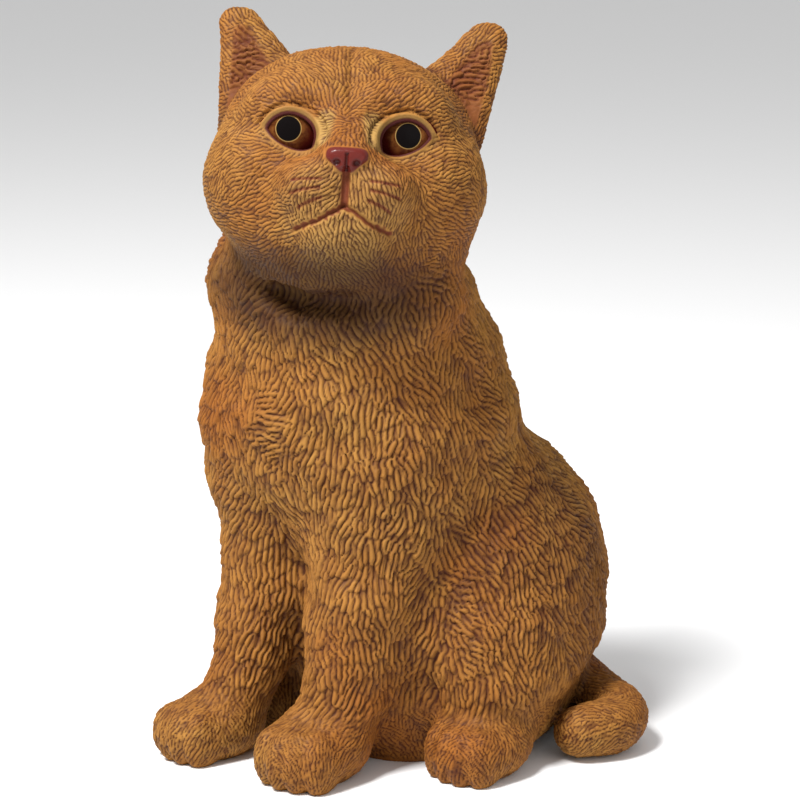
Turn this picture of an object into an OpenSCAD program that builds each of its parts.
// Seated kitten figurine, cast in sections that are luted together face to face.
// +Z is up, the kitten faces -Y and its own left side is +X.
// The origin is on the table, under the middle of the figure's bounding box.

/* [Body] */
// Width of the rump
rump_w = 60; // [56:1:64]
// Width of the chest and neck
chest_w = 52; // [48:1:54]
// Thickness of the cast walls of the torso and the head
wall = 5; // [4:0.5:6]
// Radius of the vent hole in the seat
vent_r = 8; // [4:0.5:9]

/* [Head] */
// Width of the head across the cheeks
head_w = 52; // [48:1:54]
// Turn of the head towards the kitten's left, degrees
head_turn = 42; // [20:1:45]
// Upward tilt of the face, degrees
head_tilt = 25; // [15:1:30]
// Lean of the head towards the kitten's left, degrees
head_roll = 4; // [0:1:6]
// Width of the opening of each eye
eye_w = 10; // [9:0.5:11]
// Length of each ear from its root inside the head to its tip
ear_h = 26; // [22:1:28]

/* [Limbs] */
// Radius of the forelegs just above the paws
shin_r = 7.5; // [7:0.5:8.5]
// Width of each paw
paw_w = 19; // [18:0.5:22]
// Radius of the tail at its tip
tail_r = 5.2; // [5:0.5:6]

/* [Hidden] */

$fn = 28;
FUR = [0.74, 0.52, 0.27];
EYE = [0.20, 0.11, 0.04];
EYE_FACETS = 40;
BIG = 300;

// A station is [centre, radii] of one ellipsoid; two stations are joined by their hull.
rump = [[-3, 14, 35], [rump_w / 2, 33, 37]];
belly = [[-2, -2, 16], [20, 16, 26]];
waist = [[-6, 3, 58], [chest_w / 2, 25, 29]];
chest = [[-11, -11, 67], [chest_w / 2, 22, 27]];
neck = [[-9, -8, 90], [chest_w / 2, 23, 21]];
left_shoulder = [[4, -12, 54], [12, 13, 20]];
right_shoulder = [[-22, -14, 54], [11, 13, 20]];
TORSO_PAIRS = [
    [rump, belly], [rump, waist], [belly, chest], [waist, chest], [waist, neck],
    [chest, neck], [chest, left_shoulder], [chest, right_shoulder], [belly, left_shoulder]
];

// The head is laid out facing -Y about its own centre and then turned.
head_at = [-4, -14, 116];
skull = [[0, 1, 1], [head_w / 2 - 1, 22, 20]];
cheeks = [[0, -3, -7], [head_w / 2, 19, 15]];
muzzle = [[0, -15, -11], [12, 11, 9]];
chin = [[0, -12, -18], [9, 9, 8]];
nape = [[0, 6, -12], [22, 16, 16]];
HEAD_PAIRS = [[skull, cheeks], [cheeks, muzzle], [muzzle, chin], [chin, nape], [nape, skull]];
nose = [[0, -25.5, -8], [3.6, 2.4, 2.6]];
brow = [[0, -16, 4], [9, 6, 7]];
neck_joint_z = 97;

eye_x = 11.3;
eye_at = [eye_x, -18.6, -0.5];
eye_r = [eye_w / 2, 3.2, eye_w * 0.38];
eye_splay = 24;

ear_root = [17, 1, 2];
ear_lean = 11;
ear_root_w = 10.5;
ear_tip_w = 2.2;
ear_taper = 0.7;
EAR_STEPS = 8;

// Limbs are lists of [x, y, z, radius], from the body outwards.
left_foreleg_run = [[3, -14, 52, 12.5], [3.5, -18, 34, 11], [3, -23, 16, shin_r + 1], [1.5, -26, 8, shin_r]];
right_foreleg_run = [[-20, -14, 52, 11], [-20.5, -19, 34, 9], [-21, -25, 16, shin_r], [-23, -29, 8, shin_r]];
left_paw_at = [0.5, -30, 6];
right_paw_at = [-24.5, -33, 6];
left_paw_turn = 8;
right_paw_turn = -8;
toe_count = 4;

haunch_r = [13, 22, 27];
left_haunch_at = [16, 13, 27];
right_haunch_at = [-22, 13, 27];
left_knee = [[20, 1, 17], [10, 13, 15]];
right_knee = [[-26, 1, 17], [10, 13, 15]];
left_hind_paw_at = [22, -9, 6];
right_hind_paw_at = [-28, -9, 6];

tail_run = [
    [-4, 35, 9, tail_r + 2.3], [4, 36, 8, tail_r + 2], [12.5, 34, 7.2, tail_r + 1.6],
    [20.5, 30.5, 6.6, tail_r + 1.2], [27.5, 26.5, 6.1, tail_r + 0.8], [32, 21.5, 5.9, tail_r + 0.6],
    [33, 16.5, 5.7, tail_r + 0.4], [31, 12, 5.5, tail_r]
];

module ellipsoid(centre, radii) {
    translate(centre) scale(radii) sphere(r = 1);
}

module joined(pairs, inset = 0) {
    skin = [inset, inset, inset];
    for (pair = pairs) hull() {
        ellipsoid(pair[0][0], pair[0][1] - skin);
        ellipsoid(pair[1][0], pair[1][1] - skin);
    }
}

module limb(run) {
    for (i = [1 : len(run) - 1]) hull() {
        for (end = [run[i - 1], run[i]]) translate([end[0], end[1], end[2]]) sphere(r = end[3]);
    }
}

// Everything above the table, or above a given height.
module above(height = 0) {
    translate([-BIG / 2, -BIG / 2, height]) cube(BIG);
}

module head_pose() {
    translate(head_at) rotate([0, 0, head_turn]) rotate([-head_tilt, 0, 0]) rotate([0, head_roll, 0])
        children();
}

// Side is 1 on the kitten's left and -1 on its right.
module eye_form(side) {
    head_pose() translate([side * eye_at[0], eye_at[1], eye_at[2]]) rotate([0, 0, side * eye_splay])
        scale(eye_r) sphere(r = 1, $fn = EYE_FACETS);
}

module head_form() {
    head_pose() {
        joined(HEAD_PAIRS);
        ellipsoid(brow[0], brow[1]);
        ellipsoid(nose[0], nose[1]);
    }
}

module body_form() {
    joined(TORSO_PAIRS);
}

// The hollow that runs from the seat up into the head.
module cavity() {
    intersection() {
        union() {
            joined(TORSO_PAIRS, wall);
            head_pose() joined([[skull, nape]], wall);
        }
        above(wall);
    }
}

module hollow_form() {
    difference() {
        union() {
            body_form();
            head_form();
        }
        cavity();
    }
}

module torso() {
    color(FUR) difference() {
        hollow_form();
        above(neck_joint_z);
        translate([0, 0, -BIG]) above();
        translate([rump[0][0], rump[0][1], -1]) cylinder(r = vent_r, h = wall + 2);
    }
}

module head() {
    color(FUR) difference() {
        intersection() {
            hollow_form();
            above(neck_joint_z);
        }
        eye_form(1);
        eye_form(-1);
    }
}

// An ear narrows in steps from an oval root to its tip; the scoop is its open front.
function ear_width(t) = ear_tip_w + (ear_root_w - ear_tip_w) * pow(1 - t, ear_taper);
function ear_depth(t) = 5 - 3.2 * t;

module ear_form(side) {
    translate([side * ear_root[0], ear_root[1], ear_root[2]]) rotate([0, side * ear_lean, 0])
        difference() {
            for (i = [0 : EAR_STEPS - 1]) hull() {
                for (t = [i / EAR_STEPS, (i + 1) / EAR_STEPS]) {
                    ellipsoid([0, 0, t * ear_h], [ear_width(t), ear_depth(t), ear_depth(t) * 0.6]);
                }
            }
            ellipsoid([0, -5, ear_h * 0.55], [6, 4.4, ear_h * 0.4]);
        }
}

module ear(side) {
    color(FUR) difference() {
        head_pose() ear_form(side);
        head_form();
    }
}

module left_ear() {
    ear(1);
}

module right_ear() {
    ear(-1);
}

module left_eye() {
    color(EYE) eye_form(1);
}

module right_eye() {
    color(EYE) eye_form(-1);
}

// A paw is a low oval with a row of toes across its front.
module paw(at, turn) {
    translate(at) rotate([0, 0, turn]) {
        ellipsoid([0, 0, 0], [paw_w / 2, paw_w * 0.6, 8]);
        for (i = [0 : toe_count - 1]) {
            across = (i + 0.5) / toe_count * 2 - 1;
            ellipsoid([across * paw_w * 0.36, -paw_w * (0.42 - 0.14 * across * across), -1],
                      [paw_w * 0.15, 5, 6]);
        }
    }
}

// Limbs stop where they meet the torso and at the table.
module on_table() {
    color(FUR) difference() {
        intersection() {
            children();
            above();
        }
        body_form();
    }
}

module left_foreleg() {
    on_table() {
        limb(left_foreleg_run);
        paw(left_paw_at, left_paw_turn);
    }
}

module right_foreleg() {
    on_table() {
        limb(right_foreleg_run);
        paw(right_paw_at, right_paw_turn);
    }
}

module hind_leg_form(haunch_at, knee, paw_at) {
    joined([[[haunch_at, haunch_r], knee]]);
    paw(paw_at, 0);
}

module left_hind_leg() {
    on_table() hind_leg_form(left_haunch_at, left_knee, left_hind_paw_at);
}

module right_hind_leg() {
    on_table() hind_leg_form(right_haunch_at, right_knee, right_hind_paw_at);
}

module tail() {
    difference() {
        on_table() limb(tail_run);
        hind_leg_form(left_haunch_at, left_knee, left_hind_paw_at);
    }
}

torso();
head();
left_ear();
right_ear();
left_eye();
right_eye();
left_foreleg();
right_foreleg();
left_hind_leg();
right_hind_leg();
tail();
